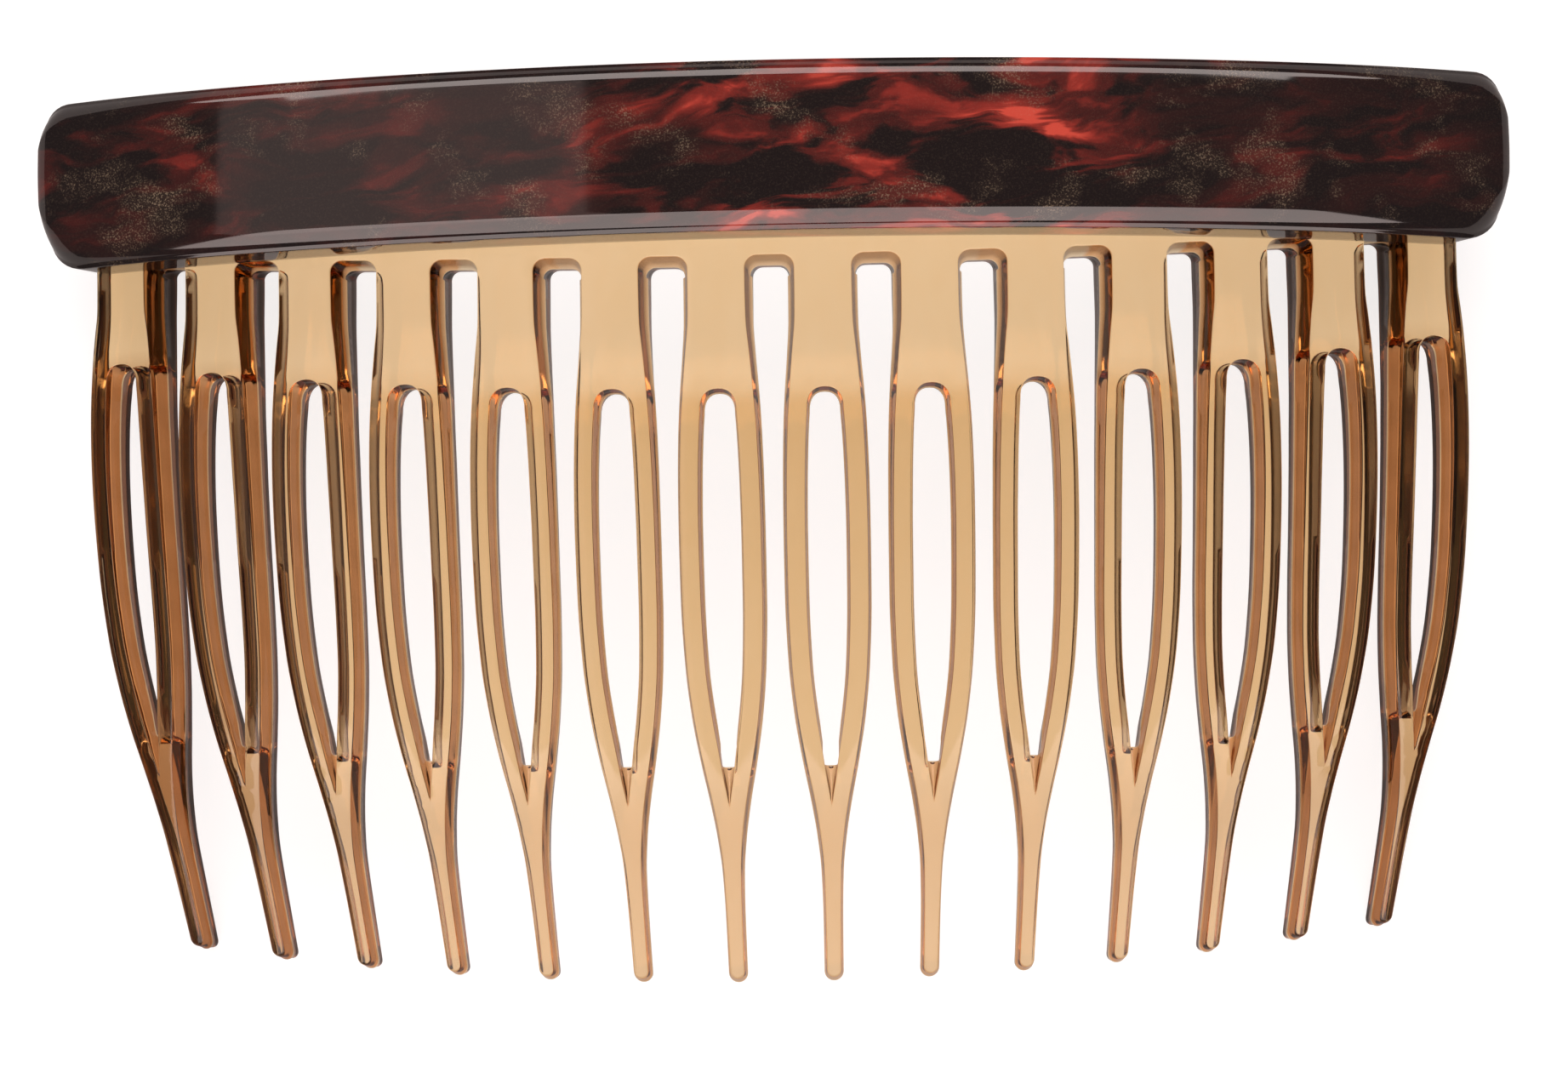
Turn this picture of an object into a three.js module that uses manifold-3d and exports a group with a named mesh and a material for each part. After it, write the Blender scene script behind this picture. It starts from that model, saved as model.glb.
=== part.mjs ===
// Decorative side comb: a polished acetate bar glued to the front of a moulded
// translucent comb with fourteen looped teeth.
//
// The comb is bent round one axis, so its bar, spine and teeth all lie on
// cylinders about that axis. Each piece is drawn flat, as height along the comb
// against width or thickness, and then bent round the axis. The finished comb is
// laid down on its concave side: it rests on the ends of its spine and on the
// tips of its two outer teeth.
//
// Comb frame, before it is laid down: X along the bar, Y up the comb from the
// tips to the bar, Z out of the convex front. The bending axis is parallel to Y.
// All lengths are in millimetres, all angles in degrees.
import * as THREE from "three";
import { mergeVertices } from "three/addons/utils/BufferGeometryUtils.js";
import Module from "manifold-3d";

// ---- driving dimensions ----
const TOOTH_COUNT = 14;
const TOOTH_STEP = 4.2; // angle from one tooth to the next
const COMB_RADIUS = 88.5; // bending axis to the front faces of the stems

const BAR_BOTTOM = 17.7; // heights are measured up the comb, from mid-length
const BAR_TOP = 28.0;
const BAR_THICKNESS = 4.6;
const BAR_HALF_ANGLE = 29.35;
const BAR_TOP_CORNER = 3.0; // corner radii, seen from the front
const BAR_BOTTOM_CORNER = 4.3;
const BAR_TOP_EDGE = 1.1; // rounding of the front's upper and lower edges
const BAR_BOTTOM_EDGE = 1.3;
const BAR_BACK_EDGE = 0.35;

const GLUE_THICKNESS = 0.26;
const GLUE_GAP = 0.02; // clearance on each side of the glue film
const GLUE_BOTTOM = 18.0;
const GLUE_TOP = 24.6;
const GLUE_HALF_ANGLE = 27.9;

const SPINE_TOP = 25.2;
const SPINE_FOOT = 15.1; // the stems are part of the spine above this height
const SPINE_THICKNESS = 3.4;
const SPINE_HALF_ANGLE = 28.55;
const GAP_FRONT = [1.49, 16.75]; // half width and top of a gap at the front
const GAP_BACK = [1.05, 16.3]; // and at the back
const GAP_CORNER = 0.6;
const GAP_ARCH = 1.87; // rise of the gap tops from the middle to the ends

// One tooth, from its stem to its tip. Height on the middle tooth, half width of
// the front face, half width at the back, inward curve of the front face, and
// thickness.
const TOOTH_PROFILE = [
  [18.0, 1.75, 2.07, 0.0, 3.4],
  [13.0, 1.75, 2.07, 0.0, 3.34],
  [10.8, 1.96, 2.2, 0.0, 3.24],
  [8.6, 2.14, 2.36, -0.02, 3.06],
  [6.2, 2.3, 2.49, 0.0, 2.86],
  [3.0, 2.41, 2.55, 0.14, 2.72],
  [0.0, 2.45, 2.57, 0.41, 2.62],
  [-4.0, 2.44, 2.55, 0.93, 2.5],
  [-8.0, 2.29, 2.4, 1.64, 2.42],
  [-11.0, 1.98, 2.1, 2.3, 2.38],
  [-13.5, 1.56, 1.7, 2.92, 2.34],
  [-16.2, 1.02, 1.17, 3.72, 2.28],
  [-18.2, 0.71, 0.84, 4.42, 2.22],
  [-20.2, 0.53, 0.64, 5.2, 2.14],
  [-23.0, 0.49, 0.59, 6.36, 2.04],
  [-27.0, 0.49, 0.58, 8.0, 1.9],
];
const PRONG_WIDTH = 1.14;
const LOOP_TOP = 8.64;
const LOOP_BOTTOM = -15.0;
const TIP_END = -26.83;
const TIP_RADIUS = 0.49;
// Rise from the middle tooth to the end teeth, by height.
const RISE = [
  [16.0, 1.87],
  [8.64, 3.46],
  [-27.5, 3.06],
];

const rad = THREE.MathUtils.degToRad;
const END_TOOTH = ((TOOTH_COUNT - 1) / 2) * TOOTH_STEP;

const wasm = await Module();
wasm.setup();

function between(table, column, at) {
  if (at >= table[0][0]) return table[0][column];
  for (let i = 1; i < table.length; i++)
    if (at >= table[i][0]) {
      const [a, b] = [table[i - 1], table[i]];
      return THREE.MathUtils.mapLinear(at, a[0], b[0], a[column], b[column]);
    }
  return table.at(-1)[column];
}

function solid(geometry) {
  const bare = geometry.clone();
  bare.deleteAttribute("normal");
  bare.deleteAttribute("uv");
  const merged = mergeVertices(bare, 1e-5);
  return new wasm.Manifold(
    new wasm.Mesh({
      numProp: 3,
      vertProperties: merged.attributes.position.array,
      triVerts: new Uint32Array(merged.index.array),
    }),
  );
}

function geometryOf(body) {
  const mesh = body.getMesh();
  const geometry = new THREE.BufferGeometry();
  geometry.setAttribute(
    "position",
    new THREE.BufferAttribute(new Float32Array(mesh.vertProperties), 3),
  );
  geometry.setIndex(new THREE.BufferAttribute(new Uint32Array(mesh.triVerts), 1));
  geometry.computeVertexNormals();
  return geometry;
}

// Moves every vertex of a geometry: at(x, y, z) gives its new place.
function warp(geometry, at) {
  const p = geometry.attributes.position;
  for (let i = 0; i < p.count; i++)
    p.setXYZ(i, ...at(p.getX(i), p.getY(i), p.getZ(i)));
  p.needsUpdate = true;
  geometry.computeVertexNormals();
  return geometry;
}

// A point at an angle round the bending axis, a distance from it, and a height.
function bent(angle, radius, height) {
  const a = rad(angle);
  return [
    radius * Math.sin(a),
    height,
    radius * Math.cos(a) - COMB_RADIUS,
  ];
}

// Stations along a bent strip, from 0 to 1, closer together at its ends.
function stations(halfAngle, radius, ends, middle) {
  const half = rad(halfAngle) * radius;
  const side = ends.map((mm) => mm / half);
  const inner = [];
  const from = 1 - side.at(-1);
  for (let i = 1; i < middle; i++)
    inner.push(THREE.MathUtils.lerp(-from, from, i / middle));
  return [
    ...side.map((s) => s - 1),
    ...inner,
    ...side.map((s) => 1 - s).reverse(),
  ].map((s) => s * halfAngle);
}

// Sweeps a section, drawn as distance from the axis against height, round the
// bending axis through the given angles.
function sweep(section, angles, shape) {
  const swept = new THREE.ExtrudeGeometry(section, {
    steps: angles.length - 1,
    depth: angles.length - 1,
    bevelEnabled: false,
    curveSegments: 5,
  });
  return warp(swept, (r, h, k) => {
    const angle = angles[angles.length - 1 - Math.round(k)];
    return bent(angle, ...shape(r, h, angle));
  });
}

function roundedSection(inner, outer, bottom, top, back, lower, upper) {
  const s = new THREE.Shape();
  s.moveTo(inner + back, bottom);
  s.lineTo(outer - lower * 0.8, bottom);
  s.quadraticCurveTo(outer, bottom, outer, bottom + lower);
  s.lineTo(outer, top - upper);
  s.quadraticCurveTo(outer, top, outer - upper * 0.9, top);
  s.lineTo(inner + back, top);
  s.lineTo(inner, top - back);
  s.lineTo(inner, bottom + back);
  s.closePath();
  return s;
}

// How far a rounded corner of radius r stands in at distance d from the end.
const corner = (r, d) => (d >= r ? 0 : r - Math.sqrt(r * r - (r - d) ** 2));

// ---- the acetate bar ----
function makeBar() {
  const inner = COMB_RADIUS + GLUE_THICKNESS + 2 * GLUE_GAP;
  const outer = inner + BAR_THICKNESS;
  const middle = (inner + outer) / 2;
  const section = roundedSection(
    inner,
    outer,
    BAR_BOTTOM,
    BAR_TOP,
    BAR_BACK_EDGE,
    BAR_BOTTOM_EDGE,
    BAR_TOP_EDGE,
  );
  const angles = stations(
    BAR_HALF_ANGLE,
    middle,
    [0, 0.2, 0.6, 1.2, 2.0, 3.0, 4.3],
    30,
  );
  return sweep(section, angles, (r, h, angle) => {
    const d = rad(BAR_HALF_ANGLE - Math.abs(angle)) * middle;
    const low = BAR_BOTTOM + corner(BAR_BOTTOM_CORNER, d);
    const high = BAR_TOP - corner(BAR_TOP_CORNER, d);
    const thin = 1 - 0.22 * corner(1.2, d);
    return [
      middle + (r - middle) * thin,
      THREE.MathUtils.mapLinear(h, BAR_BOTTOM, BAR_TOP, low, high),
    ];
  });
}

// ---- the glue film between the bar and the spine ----
function makeGlue() {
  const inner = COMB_RADIUS + GLUE_GAP;
  const s = new THREE.Shape();
  s.moveTo(inner, GLUE_BOTTOM);
  s.lineTo(inner + GLUE_THICKNESS, GLUE_BOTTOM);
  s.lineTo(inner + GLUE_THICKNESS, GLUE_TOP);
  s.lineTo(inner, GLUE_TOP);
  s.closePath();
  return sweep(s, stations(GLUE_HALF_ANGLE, inner, [0], 42), (r, h) => [r, h]);
}

// ---- the spine, with the roots of the stems ----
function makeSpine() {
  const back = COMB_RADIUS - SPINE_THICKNESS;
  const angles = stations(SPINE_HALF_ANGLE, COMB_RADIUS, [0, 0.3, 0.9, 1.8], 40);
  const section = roundedSection(
    back,
    COMB_RADIUS,
    SPINE_FOOT,
    SPINE_TOP,
    0.3,
    0.001,
    0.3,
  );
  const flatFoot = (h) => (h < SPINE_FOOT + 0.31 ? SPINE_FOOT : h);
  let spine = solid(
    sweep(section, angles, (r, h, angle) => {
      const d = rad(SPINE_HALF_ANGLE - Math.abs(angle)) * COMB_RADIUS;
      const high = SPINE_TOP - corner(1.8, d);
      return [
        r < back + 0.31 && h < SPINE_FOOT + 0.31 ? back : r,
        THREE.MathUtils.mapLinear(
          flatFoot(h),
          SPINE_FOOT,
          SPINE_TOP,
          SPINE_FOOT,
          high,
        ),
      ];
    }),
  );
  const drop = 4;
  for (let i = 0; i < TOOTH_COUNT - 1; i++) {
    const angle = (i - (TOOTH_COUNT - 2) / 2) * TOOTH_STEP;
    const rise = GAP_ARCH * (angle / END_TOOTH) ** 2;
    const [w, top] = GAP_FRONT;
    const arch = new THREE.Shape();
    arch.moveTo(-w, top - drop);
    arch.lineTo(w, top - drop);
    arch.lineTo(w, top - GAP_CORNER);
    arch.quadraticCurveTo(w, top, w - GAP_CORNER, top);
    arch.lineTo(-w + GAP_CORNER, top);
    arch.quadraticCurveTo(-w, top, -w, top - GAP_CORNER);
    arch.closePath();
    const cut = new THREE.ExtrudeGeometry(arch, {
      depth: 1,
      bevelEnabled: false,
      curveSegments: 3,
    });
    // The mould's draft runs on past both faces of the spine.
    const past = 0.6;
    warp(cut, (x, y, z) => {
      const k = z > 0.5 ? -past / SPINE_THICKNESS : 1 + past / SPINE_THICKNESS;
      const narrow = THREE.MathUtils.lerp(1, GAP_BACK[0] / w, k);
      const lower = THREE.MathUtils.lerp(0, GAP_BACK[1] - top, k);
      return [
        x * narrow,
        y + lower + rise,
        COMB_RADIUS - k * SPINE_THICKNESS,
      ];
    });
    cut.applyMatrix4(new THREE.Matrix4().makeRotationY(rad(angle)));
    cut.translate(0, 0, -COMB_RADIUS);
    spine = spine.subtract(solid(cut));
  }
  return geometryOf(spine);
}

// ---- one looped tooth, in its own frame: Z is the distance from the axis ----
function makeTooth(angle) {
  const share = (angle / END_TOOTH) ** 2;
  const rise = (s) => between(RISE, 1, s) * share;
  const height = (s) => s + rise(s);
  const top = SPINE_FOOT - GLUE_GAP;
  let start = top;
  for (let i = 0; i < 20; i++) start = top - rise(start);

  const levels = [
    start,
    ...TOOTH_PROFILE.map((row) => row[0]).filter(
      (s) => s < start - 0.3 && s > TIP_END + TIP_RADIUS + 0.2,
    ),
  ];
  const width = (s) => between(TOOTH_PROFILE, 1, s);
  const shape = new THREE.Shape();
  const right = levels.map((s) => [width(s), s]);
  const tip = [];
  const tipCentre = TIP_END + TIP_RADIUS;
  for (let i = 0; i <= 6; i++) {
    const a = (Math.PI * i) / 6;
    tip.push([
      TIP_RADIUS * Math.cos(a),
      tipCentre - TIP_RADIUS * Math.sin(a),
    ]);
  }
  const left = levels.map((s) => [-width(s), s]).reverse();
  shape.setFromPoints(
    [...right, ...tip, ...left].reverse().map(([x, y]) => new THREE.Vector2(x, y)),
  );

  const gap = (s) => width(s) - PRONG_WIDTH;
  const inner = [6.2, 3.0, 0, -4, -8, -11, -13.5, LOOP_BOTTOM];
  const loopRight = [
    [0.45, LOOP_TOP],
    [0.82, LOOP_TOP - 0.3],
    [1.0, LOOP_TOP - 0.85],
    ...inner.map((s) => [gap(s), s]),
  ];
  const loop = [
    ...loopRight,
    ...loopRight.map(([x, y]) => [-x, y]).reverse(),
  ];
  shape.holes.push(
    new THREE.Path().setFromPoints(
      loop.map(([x, y]) => new THREE.Vector2(x, y)),
    ),
  );

  const tooth = new THREE.ExtrudeGeometry(shape, {
    depth: 1,
    bevelEnabled: false,
    curveSegments: 1,
  });
  return warp(tooth, (x, s, z) => {
    const front = z > 0.5;
    const edge = between(TOOTH_PROFILE, 1, s);
    const wide = between(TOOTH_PROFILE, 2, s);
    const outside = Math.abs(x) > edge - 0.3 * PRONG_WIDTH || s < tipCentre;
    const x1 = !front && outside ? (x * wide) / edge : x;
    const inward = between(TOOTH_PROFILE, 3, s);
    const thick = between(TOOTH_PROFILE, 4, s);
    return [
      x1,
      height(s),
      COMB_RADIUS - inward - (front ? 0 : thick),
    ];
  });
}

// ---- assembly ----
const acetate = new THREE.MeshStandardMaterial({
  color: 0x2a1413,
  roughness: 0.12,
  metalness: 0,
});
const glue = new THREE.MeshStandardMaterial({
  color: 0xb08a5a,
  roughness: 0.3,
  metalness: 0,
});
const moulded = new THREE.MeshStandardMaterial({
  color: 0xc89a62,
  roughness: 0.15,
  metalness: 0,
});

function named(name, geometry, material) {
  const mesh = new THREE.Mesh(geometry, material.clone());
  mesh.name = name;
  return mesh;
}

const comb = new THREE.Group();
const ornament = new THREE.Group();
ornament.add(named("acetate_bar", makeBar(), acetate));
ornament.add(named("glue_film", makeGlue(), glue));
comb.add(ornament);

const moulding = new THREE.Group();
moulding.add(named("comb_spine", makeSpine(), moulded));
const axis = new THREE.Group();
axis.position.z = -COMB_RADIUS;
for (let i = 0; i < TOOTH_COUNT; i++) {
  const angle = (i - (TOOTH_COUNT - 1) / 2) * TOOTH_STEP;
  const tooth = named(
    "tooth_" + String(i + 1).padStart(2, "0"),
    makeTooth(angle),
    moulded,
  );
  tooth.rotation.y = rad(angle);
  axis.add(tooth);
}
moulding.add(axis);
comb.add(moulding);

// ---- laying the comb down on its concave side ----
// It tips about X until the ends of the spine and the outer tips touch together.
function lowest(meshes) {
  const v = new THREE.Vector3();
  let low = Infinity;
  for (const mesh of meshes) {
    const p = mesh.geometry.attributes.position;
    for (let i = 0; i < p.count; i++)
      low = Math.min(
        low,
        v.fromBufferAttribute(p, i).applyMatrix4(mesh.matrixWorld).z,
      );
  }
  return low;
}
const meshes = [];
comb.traverse((o) => o.isMesh && meshes.push(o));
const teeth = meshes.filter((m) => m.name.startsWith("tooth"));
const others = meshes.filter((m) => !m.name.startsWith("tooth"));
let [least, most] = [0, rad(15)];
for (let i = 0; i < 40; i++) {
  comb.rotation.x = -(least + most) / 2;
  comb.updateMatrixWorld(true);
  if (lowest(teeth) < lowest(others)) least = (least + most) / 2;
  else most = (least + most) / 2;
}

// The origin is the middle of the footprint, on the table.
const box = new THREE.Box3().setFromObject(comb, true);
comb.position.set(0, -(box.min.y + box.max.y) / 2, -box.min.z);

const root = new THREE.Group();
root.add(comb);
root.updateMatrixWorld(true);

export default root;
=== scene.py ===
import math

import bpy
import numpy as np
from mathutils import Matrix, Vector
from mathutils.geometry import delaunay_2d_cdt


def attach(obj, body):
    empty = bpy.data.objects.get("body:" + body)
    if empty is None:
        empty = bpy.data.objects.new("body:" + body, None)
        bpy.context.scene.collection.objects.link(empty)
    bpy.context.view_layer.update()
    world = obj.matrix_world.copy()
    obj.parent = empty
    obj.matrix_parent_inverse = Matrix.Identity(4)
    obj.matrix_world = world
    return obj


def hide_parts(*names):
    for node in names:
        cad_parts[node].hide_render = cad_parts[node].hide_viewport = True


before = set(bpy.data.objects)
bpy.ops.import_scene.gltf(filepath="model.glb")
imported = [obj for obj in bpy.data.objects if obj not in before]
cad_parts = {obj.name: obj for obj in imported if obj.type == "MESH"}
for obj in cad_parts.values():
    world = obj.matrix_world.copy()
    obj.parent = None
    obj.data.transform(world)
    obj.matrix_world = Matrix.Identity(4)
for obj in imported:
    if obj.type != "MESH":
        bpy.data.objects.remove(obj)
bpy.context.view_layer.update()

# ---------------------------------------------------------------- dimensions
# The comb's own frame, in millimetres: X along the bar, Y up the comb, Z out of
# its convex front. It is bent round an axis parallel to Y.
TEETH = 14
STEP = 4.2
R = 88.5
END = (TEETH - 1) / 2 * STEP
PITCH = math.radians(STEP) * R
TILT = math.radians(6.114141510065566)
DROP = (-0.2722816685417495, 16.135988916725736)

SPINE_TOP = 25.2
SPINE_T = 3.4
GAP_F = (1.49, 16.75)
GAP_B = (1.05, 16.3)

# height, half width at the front, at the parting line and at the back, inward curve, thickness
PROFILE = np.array([
    [25.2, 1.75, 2.07, 2.04, 0.0, 3.4],
    [18.0, 1.75, 2.07, 2.04, 0.0, 3.4],
    [15.0, 1.75, 2.07, 2.03, 0.0, 3.38],
    [13.0, 1.77, 2.08, 2.02, 0.0, 3.33],
    [10.8, 1.96, 2.2, 2.08, 0.0, 3.22],
    [8.6, 2.15, 2.37, 2.19, -0.02, 3.06],
    [6.2, 2.31, 2.50, 2.30, 0.0, 2.86],
    [3.0, 2.42, 2.58, 2.39, 0.14, 2.72],
    [0.0, 2.46, 2.60, 2.41, 0.41, 2.62],
    [-4.0, 2.44, 2.58, 2.39, 0.93, 2.5],
    [-8.0, 2.29, 2.42, 2.24, 1.64, 2.42],
    [-11.0, 1.98, 2.12, 1.94, 2.3, 2.38],
    [-13.5, 1.57, 1.71, 1.55, 2.92, 2.34],
    [-16.2, 1.03, 1.18, 1.04, 3.72, 2.28],
    [-18.2, 0.72, 0.85, 0.74, 4.42, 2.22],
    [-20.2, 0.54, 0.64, 0.55, 5.2, 2.14],
    [-23.0, 0.48, 0.56, 0.49, 6.36, 2.04],
    [-27.2, 0.47, 0.54, 0.48, 8.08, 1.88],
])[::-1]
PRONG = 1.14
LOOP_TOP = 8.64
TIP_END = -26.83
# rise of the end teeth over the middle ones, by height
RISE = np.array([[-27.5, 3.06], [8.64, 3.46], [14.5, 2.2], [16.5, 1.87], [25.2, 0.0]])


def pchip(xs, ys):
    """Monotone cubic through the points, as a function of an array."""
    xs, ys = np.asarray(xs, float), np.asarray(ys, float)
    h, d = np.diff(xs), np.diff(ys) / np.diff(xs)
    m = np.zeros(len(xs))
    for i in range(1, len(xs) - 1):
        if d[i - 1] * d[i] > 0:
            w1, w2 = 2 * h[i] + h[i - 1], h[i] + 2 * h[i - 1]
            m[i] = (w1 + w2) / (w1 / d[i - 1] + w2 / d[i])
    m[0], m[-1] = d[0], d[-1]

    def f(x):
        x = np.clip(np.asarray(x, float), xs[0], xs[-1])
        i = np.clip(np.searchsorted(xs, x) - 1, 0, len(h) - 1)
        t = (x - xs[i]) / h[i]
        return ((2 * t**3 - 3 * t**2 + 1) * ys[i] + (t**3 - 2 * t**2 + t) * h[i] * m[i]
                + (-2 * t**3 + 3 * t**2) * ys[i + 1] + (t**3 - t**2) * h[i] * m[i + 1])
    return f


width_f, width_m, width_b, inward, thick = (pchip(PROFILE[:, 0], PROFILE[:, k]) for k in (1, 2, 3, 4, 5))
rise = pchip(RISE[:, 0], RISE[:, 1])


def smooth(a, b, x):
    t = np.clip((x - a) / (b - a), 0, 1)
    return t * t * (3 - 2 * t)


def bend(a, s, depth):
    """Width a along the front cylinder, height s on the middle tooth and depth behind the front cylinder, to the comb frame."""
    th = a / R
    nearest = np.clip(np.round(np.degrees(th) / STEP - 0.5) + 0.5, -(TEETH - 1) / 2, (TEETH - 1) / 2) * STEP
    at = np.degrees(th) * smooth(14.6, 16.2, s) + nearest * (1 - smooth(14.6, 16.2, s))
    h = s + rise(s) * (at / END) ** 2
    r = R - depth
    return np.stack([r * np.sin(th), h, r * np.cos(th) - R], -1)


def to_row(p):
    """Comb frame in mm to the row frame in metres."""
    x, y, z = p[..., 0], p[..., 1], p[..., 2]
    c, s = math.cos(TILT), math.sin(TILT)
    return np.stack([x, y * c + z * s + DROP[0], -y * s + z * c + DROP[1]], -1) / 1000


def mesh_object(name, verts, faces, smooth_shade=True):
    me = bpy.data.meshes.new(name)
    me.from_pydata([tuple(v) for v in verts], [], [tuple(int(i) for i in f) for f in faces])
    me.validate()
    me.update()
    ob = bpy.data.objects.new(name, me)
    bpy.context.scene.collection.objects.link(ob)
    if smooth_shade:
        me.polygons.foreach_set("use_smooth", [True] * len(me.polygons))
    return ob


# ---------------------------------------------------------------- the moulding
# Outlines are held three times, at the front face, at the parting line and at
# the back face, with matching points. Each point is (tooth angle, width from the
# tooth's middle in mm, height).
def squeeze(s, depth):
    """Widths are physical; the bend works on the front cylinder."""
    return R / (R - depth)


def tooth_side():
    """The right side of a tooth from just under the gap to its tip's middle, as (front, mid, back) arrays of (width, height)."""
    s = np.concatenate([np.arange(15.6, 9.0, -0.6), np.arange(9.0, -13.0, -0.75), np.arange(-13.0, -26.0, -0.55)])
    s = s[s > TIP_END + 1.05]
    f = np.stack([width_f(s), s], -1)
    m = np.stack([width_m(s), s], -1)
    b = np.stack([width_b(s), s], -1)
    out = [f, m, b]
    for k, (lift, grow) in enumerate(((0.10, 0.0), (0.0, 0.0), (0.06, 0.0))):
        w = [width_f(TIP_END + 0.6), width_m(TIP_END + 0.6), width_b(TIP_END + 0.6)][k]
        ang = np.linspace(0, math.pi / 2, 8)
        arc = np.stack([w * np.cos(ang), TIP_END + lift + w * (1 - np.sin(ang)) * 1.0], -1)
        out[k] = np.concatenate([out[k], arc])
    return out


def gap_half():
    """Half a gap's arch, from its middle down to the stem: offset from the gap's middle, height. Front, mid, back."""
    out = []
    for w, top, rc in ((GAP_F[0], GAP_F[1], 0.75), ((GAP_F[0] * 0.35 + GAP_B[0] * 0.65), GAP_B[1] + 0.02, 0.62), (GAP_B[0] + 0.03, GAP_B[1] + 0.1, 0.6)):
        pts = [(0.0, top), ((w - rc) * 0.5, top)]
        for k in range(7):
            a = math.pi / 2 * k / 6
            pts.append((w - rc + rc * math.sin(a), top - rc + rc * math.cos(a)))
        out.append(np.array(pts))
    return out


def loop_half():
    """Half the loop's outline, from the top's middle down to the bottom's middle."""
    s = np.arange(7.2, -12.1, -0.75)
    gap = pchip([-17, -16.3, -14.85, -13.1, -11.0, -8.0, -4.0, 0.0, 3.0, 6.2, 7.2, 9.0],
                [0.0, 0.03, 0.27, 0.53, 0.86, 1.17, 1.31, 1.33, 1.29, 1.17, 1.10, 0.99])
    tight = (0.0, 0.13, 0.0)
    out = []
    for k in range(3):
        top = LOOP_TOP + (0.0, -0.1, 0.04)[k]
        g = gap(s) - tight[k]
        arch = [(g[0] * math.sin(math.pi / 2 * j / 8) ** 0.85,
                 7.2 + (top - 7.2) * (math.cos(math.pi / 2 * j / 8) if j < 8 else 0.0) ** 0.75) for j in range(9)]
        side = np.stack([g, s], -1)[1:]
        if k == 0:
            sb = np.array([-12.7, -13.2, -13.8, -14.4, -15.0, -15.6, -16.15])
            low = np.concatenate([np.stack([gap(sb), sb], -1), [[0.0, -16.45]]])
        else:
            w1, w0 = gap(-12.6) - tight[k] * 0.6, gap(-13.4) - tight[k] * 0.2
            drop = 0.0 if k == 1 else -0.15
            low = np.array([[w1, -12.6], [w0 + 0.03, -13.4], [w0 - 0.01, -13.82], [w0 - 0.08, -13.97],
                            [w0 * 0.55, -14.0], [w0 * 0.36, -14.0], [w0 * 0.18, -14.0], [0.0, -14.0]])
            low[1:, 1] += drop
        out.append(np.concatenate([np.array(arch), side, low]))
    return out


SIDE, ARCH, LOOP = tooth_side(), gap_half(), loop_half()
DEPTH_AT = (0.0, 0.52, 1.0)


def factor(k, s):
    d = inward(s) + DEPTH_AT[k] * thick(s)
    return R / (R - d)


def outlines():
    """The moulding's outer outline and its loops: a list of (front, mid, back, ridge) with matching points in (a, s)."""
    loops = []
    centre = [(i - (TEETH - 1) / 2) * PITCH for i in range(TEETH)]
    outer = []
    for k in range(3):
        pts, ridge, rad = [], [], []
        end_w = (1.78, 2.03, 2.0)[k]
        fs = factor(k, 20.0)
        a_end = centre[-1] + end_w * fs
        top = SPINE_TOP
        rc = 1.8
        # along the top, left to right
        n = 150
        for a in np.linspace(-(centre[-1] + 1.9) + rc, (centre[-1] + 1.9) - rc, n):
            pts.append((a, top)); ridge.append(0.015); rad.append(0.35)
        for j in range(1, 7):
            a = math.pi / 2 * j / 6
            pts.append((a_end - rc + rc * math.sin(a), top - rc + rc * math.cos(a))); ridge.append(0.015); rad.append(0.35)
        for s in np.arange(22.8, 16.0, -0.6):
            pts.append((a_end, s)); ridge.append(0.02); rad.append(0.12)
        for i in reversed(range(TEETH)):
            side = SIDE[k]
            f = factor(k, side[:, 1])
            for (w, s), q in zip(side, f):
                pts.append((centre[i] + w * q, s)); ridge.append(0.045); rad.append(0.09 if s > -22 else 0.09 + 0.09 * min(1, (-22 - s) / 4))
            for (w, s), q in list(zip(side, f))[-2::-1]:
                pts.append((centre[i] - w * q, s)); ridge.append(0.045); rad.append(0.09 if s > -22 else 0.09 + 0.09 * min(1, (-22 - s) / 4))
            if i > 0:
                mid = centre[i] - PITCH / 2
                fa = factor(k, 17.0)
                half = ARCH[k]
                for g, s in half[::-1]:
                    pts.append((mid + g * fa, s)); ridge.append(0.02); rad.append(0.12)
                for g, s in half[1:]:
                    pts.append((mid - g * fa, s)); ridge.append(0.02); rad.append(0.12)
        for s in np.arange(22.8, 16.0, -0.6)[::-1]:
            pts.append((-a_end, s)); ridge.append(0.02); rad.append(0.12)
        for j in range(6, 0, -1):
            a = math.pi / 2 * j / 6
            pts.append((-(a_end - rc + rc * math.sin(a)), top - rc + rc * math.cos(a))); ridge.append(0.015); rad.append(0.35)
        outer.append(np.array(pts))
    loops.append((outer, np.array(ridge), np.array(rad)))
    for i in range(TEETH):
        three = []
        for k in range(3):
            half = LOOP[k]
            f = factor(k, half[:, 1])
            pts = [(centre[i] + w * q, s) for (w, s), q in zip(half, f)]
            pts += [(centre[i] - w * q, s) for (w, s), q in list(zip(half, f))[-2:0:-1]]
            three.append(np.array(pts))
        n = len(three[0])
        ridge = np.where(three[1][:, 1] > -13.0, 0.045, 0.0)
        loops.append((three, ridge, np.full(n, 0.08)))
    return loops, centre


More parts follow.
